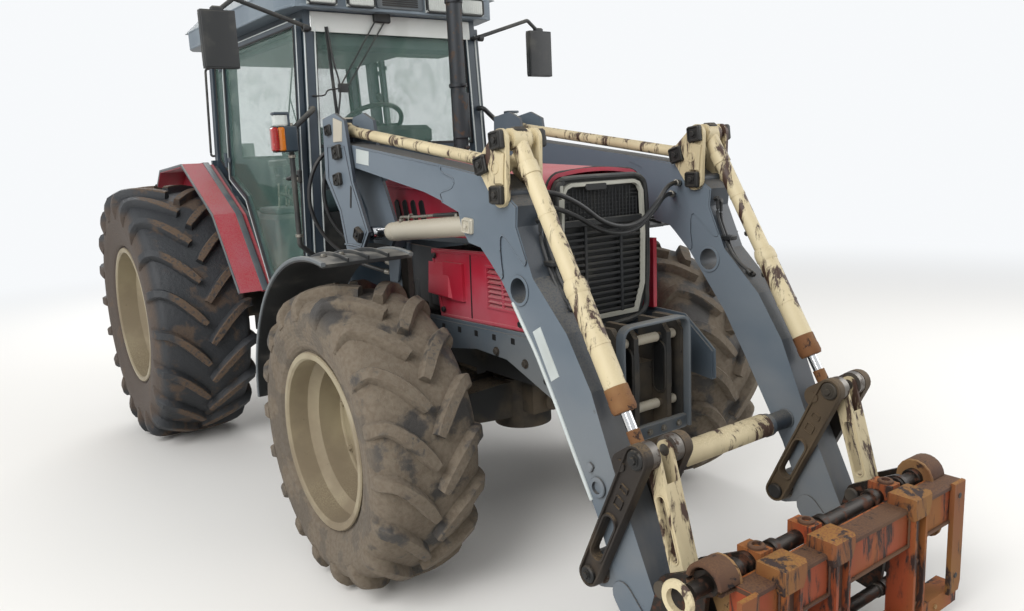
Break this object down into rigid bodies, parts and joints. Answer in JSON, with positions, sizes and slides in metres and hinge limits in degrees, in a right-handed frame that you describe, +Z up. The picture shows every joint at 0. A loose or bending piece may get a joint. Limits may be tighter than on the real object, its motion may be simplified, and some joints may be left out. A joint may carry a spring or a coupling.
{
  "type": "farm tractor",
  "caption": "Four-wheel-drive farm tractor with a glazed cab, a parallel-linkage front loader, a pinned tool carrier, steered front wheels and a rear three-point linkage.",
  "frame": {"origin": "on the ground in the middle of the machine's overall length, between its two sides", "axes": "+Z up; the tractor faces -Y; its left side is at +X"},
  "size_m": [2.46, 5.725, 2.8398],
  "materials": {
    "tyre_rubber": "moulded rubber with dry mud",
    "rim_cream": "dusty cream enamel",
    "engine_grey": "dark grey enamel",
    "cast_dark": "painted casting with oily dust",
    "body_red": "faded red enamel",
    "loader_blue": "light blue grey enamel, chipped",
    "loader_cream": "cream enamel, chipped",
    "cast_links_brown": "dark brown casting",
    "carrier_orange": "rusted orange enamel",
    "shaft_dark": "worn dark steel",
    "rod_chrome": "hard chrome rod",
    "pin_steel": "worn steel pins",
    "cab_grey": "dark blue grey enamel",
    "roof_grey": "grey moulded roof",
    "plastic_black": "black moulded plastic",
    "glass_green": "tinted safety glass",
    "seat_cloth": "dark seat cloth",
    "lamp_clear": "lamp glass",
    "hose_rubber": "black hydraulic hose",
    "exhaust_steel": "heat darkened steel"
  },
  "bodies": {
    "tractor": {"engine_block": "engine_grey", "drive_housing": "cast_dark", "front_support": "cast_dark", "front_axle": "cast_dark", "loader_side_frames": "loader_blue", "loader_masts": "loader_blue", "exhaust_stack": "exhaust_steel", "hood": "body_red", "cowl": "cab_grey", "grille": "plastic_black", "side_panels": "body_red", "cab_frame": "cab_grey", "cab_roof": "roof_grey", "cab_glass": "glass_green", "rear_fenders": "body_red", "cab_steps": "plastic_black", "cab_interior": "plastic_black", "seat_pads": "seat_cloth", "mirrors": "plastic_black", "grab_rails": "plastic_black", "work_lamps": "lamp_clear", "rear_hitch": "cast_dark", "mast_hose_outer": "hose_rubber", "mast_hose_inner": "hose_rubber"},
    "rear_wheel_left": {"rear_tyre_left": "tyre_rubber", "rear_rim_left": "rim_cream"},
    "rear_wheel_right": {"rear_tyre_right": "tyre_rubber", "rear_rim_right": "rim_cream"},
    "steering_knuckle_left": {"knuckle_left": "cast_dark", "front_fender_left": "plastic_black"},
    "steering_knuckle_right": {"knuckle_right": "cast_dark", "front_fender_right": "plastic_black"},
    "front_wheel_left": {"front_tyre_left": "tyre_rubber", "front_rim_left": "rim_cream"},
    "front_wheel_right": {"front_tyre_right": "tyre_rubber", "front_rim_right": "rim_cream"},
    "steering_wheel": {"steering_wheel": "plastic_black"},
    "door_left": {"door_frame_left": "cab_grey", "door_glass_left": "glass_green"},
    "door_right": {"door_frame_right": "cab_grey", "door_glass_right": "glass_green"},
    "loader_arms": {"loader_arms": "loader_blue", "arm_hose_upper": "hose_rubber", "arm_hose_lower": "hose_rubber"},
    "levelling_links": {"levelling_links": "loader_cream"},
    "bell_cranks": {"bell_cranks": "loader_cream"},
    "lift_barrels": {"lift_barrels": "loader_cream"},
    "lift_rods": {"lift_rods": "rod_chrome"},
    "tool_barrels": {"tool_barrels": "loader_cream"},
    "tool_rods": {"tool_rods": "rod_chrome"},
    "carrier_pins": {"carrier_pins": "pin_steel"},
    "carrier": {"carrier_frame": "shaft_dark", "tool_frame": "carrier_orange"},
    "cast_link_pins": {"cast_link_pins": "pin_steel"},
    "cast_links": {"cast_links": "cast_links_brown"},
    "knee_pins": {"knee_pins": "pin_steel"},
    "push_links": {"push_links": "loader_cream"},
    "lower_links": {"lower_links": "cast_dark"},
    "rock_arms": {"rock_arms": "cast_dark"},
    "lift_hangers": {"lift_hangers": "cast_dark"}
  },
  "joints": [
    {"name": "rear_wheel_left_spin", "type": "hinge", "parent": "tractor", "child": "rear_wheel_left", "pos_m": [0.93, 1.6925, 0.85], "axis": [1, 0, 0], "continuous": true},
    {"name": "rear_wheel_right_spin", "type": "hinge", "parent": "tractor", "child": "rear_wheel_right", "pos_m": [-0.93, 1.6925, 0.85], "axis": [1, 0, 0], "continuous": true},
    {"name": "steering", "type": "hinge", "parent": "tractor", "child": "steering_knuckle_left", "pos_m": [0.68, -1.0575, 0.65], "axis": [0, 0, 1], "range_deg": [-24, 24]},
    {"name": "steering_right", "type": "hinge", "parent": "tractor", "child": "steering_knuckle_right", "pos_m": [-0.68, -1.0575, 0.65], "axis": [0, 0, 1], "range_deg": [-24.5, 24.5]},
    {"name": "steering_wheel_turn", "type": "hinge", "parent": "tractor", "child": "steering_wheel", "pos_m": [0, 0.3425, 2.01], "axis": [0, 0.5736, 0.8192], "range_deg": [-365, 365]},
    {"name": "front_wheel_left_spin", "type": "hinge", "parent": "steering_knuckle_left", "child": "front_wheel_left", "pos_m": [0.86, -1.0575, 0.65], "axis": [1, 0, 0], "continuous": true},
    {"name": "front_wheel_right_spin", "type": "hinge", "parent": "steering_knuckle_right", "child": "front_wheel_right", "pos_m": [-0.86, -1.0575, 0.65], "axis": [1, 0, 0], "continuous": true},
    {"name": "door_left_open", "type": "hinge", "parent": "tractor", "child": "door_left", "pos_m": [0.59038, 1.2385, 2.0994], "axis": [-0.0419, 0, 0.9991], "range_deg": [0, 52]},
    {"name": "door_right_open", "type": "hinge", "parent": "tractor", "child": "door_right", "pos_m": [-0.59038, 1.2385, 2.0994], "axis": [-0.0419, 0, -0.9991], "range_deg": [0, 52]},
    {"name": "lift", "type": "hinge", "parent": "tractor", "child": "loader_arms", "pos_m": [0, -0.4775, 1.845], "axis": [-1, 0, 0], "range_deg": [0, 86]},
    {"name": "levelling_links_turn", "type": "hinge", "parent": "tractor", "child": "levelling_links", "pos_m": [0, -0.3875, 1.953], "axis": [-1, 0, 0], "range_deg": [-0.5, 86.5]},
    {"name": "bell_cranks_turn", "type": "hinge", "parent": "loader_arms", "child": "bell_cranks", "pos_m": [0, -1.7825, 1.655], "axis": [1, 0, 0], "range_deg": [-0.5, 86.5]},
    {"name": "lift_barrels_turn", "type": "hinge", "parent": "loader_arms", "child": "lift_barrels", "pos_m": [0, -1.5505, 1.533], "axis": [1, 0, 0], "range_deg": [-0.5, 10.15]},
    {"name": "lift_rods_slide", "type": "slide", "parent": "lift_barrels", "child": "lift_rods", "axis": [0, 0.9963, -0.0856], "range_m": [-0.002, 0.5463]},
    {"name": "carrier_levelling", "type": "hinge", "parent": "loader_arms", "child": "carrier_pins", "pos_m": [0, -2.4975, 0.175], "axis": [1, 0, 0], "range_deg": [-0.2, 61.26]},
    {"name": "tilt", "type": "hinge", "parent": "carrier_pins", "child": "carrier", "pos_m": [0, -2.4975, 0.175], "axis": [1, 0, 0], "range_deg": [-12, 55]},
    {"name": "cast_links_levelling", "type": "hinge", "parent": "loader_arms", "child": "cast_link_pins", "pos_m": [0, -2.2325, 0.372], "axis": [1, 0, 0], "range_deg": [-0.2, 34.6]},
    {"name": "cast_links_tilt", "type": "hinge", "parent": "cast_link_pins", "child": "cast_links", "pos_m": [0, -2.2325, 0.372], "axis": [1, 0, 0], "range_deg": [-7.04, 30.48]},
    {"name": "push_links_levelling", "type": "hinge", "parent": "cast_links", "child": "knee_pins", "pos_m": [0, -2.4675, 0.85], "axis": [1, 0, 0], "range_deg": [-32.19, 0.2]},
    {"name": "push_links_tilt", "type": "hinge", "parent": "knee_pins", "child": "push_links", "pos_m": [0, -2.4675, 0.85], "axis": [1, 0, 0], "range_deg": [-20.3, 4.82]},
    {"name": "tool_barrels_turn", "type": "hinge", "parent": "bell_cranks", "child": "tool_barrels", "pos_m": [0, -1.7965, 1.848], "axis": [-1, 0, 0], "range_deg": [-0.5, 88.22]},
    {"name": "tool_rods_slide", "type": "slide", "parent": "tool_barrels", "child": "tool_rods", "axis": [0, -0.503, -0.8643], "range_m": [-0.0512, 0.2276]},
    {"name": "rear_linkage", "type": "hinge", "parent": "tractor", "child": "lower_links", "pos_m": [0, 1.8925, 0.52], "axis": [1, 0, 0], "range_deg": [0, 33]},
    {"name": "rock_arms_turn", "type": "hinge", "parent": "tractor", "child": "rock_arms", "pos_m": [0, 1.8725, 1.15], "axis": [1, 0, 0], "range_deg": [-0.5, 51.16]},
    {"name": "lift_hangers_turn", "type": "hinge", "parent": "rock_arms", "child": "lift_hangers", "pos_m": [0, 2.1255, 1.058], "axis": [1, 0, 0], "range_deg": [-54.33, 0.5]}
  ],
  "couplings": [
    {"joint": "steering_right", "follows": "steering", "ratio": 1},
    {"joint": "steering_wheel_turn", "follows": "steering", "ratio": 15},
    {"joint": "levelling_links_turn", "follows": "lift", "ratio": 1},
    {"joint": "bell_cranks_turn", "follows": "lift", "ratio": 1},
    {"joint": "lift_barrels_turn", "follows": "lift", "ratio": 0.1122},
    {"joint": "lift_rods_slide", "follows": "lift", "m_per_rad": 0.3626},
    {"joint": "carrier_levelling", "follows": "lift", "ratio": 0.71},
    {"joint": "cast_links_levelling", "follows": "lift", "ratio": 0.4},
    {"joint": "push_links_levelling", "follows": "lift", "ratio": -0.372},
    {"joint": "tool_barrels_turn", "follows": "lift", "ratio": 1.02},
    {"joint": "cast_links_tilt", "follows": "tilt", "ratio": 0.545},
    {"joint": "push_links_tilt", "follows": "tilt", "ratio": -0.36},
    {"joint": "tool_rods_slide", "follows": "tilt", "m_per_rad": 0.235},
    {"joint": "rock_arms_turn", "follows": "rear_linkage", "ratio": 1.5353},
    {"joint": "lift_hangers_turn", "follows": "rear_linkage", "ratio": -1.6311}
  ]
}
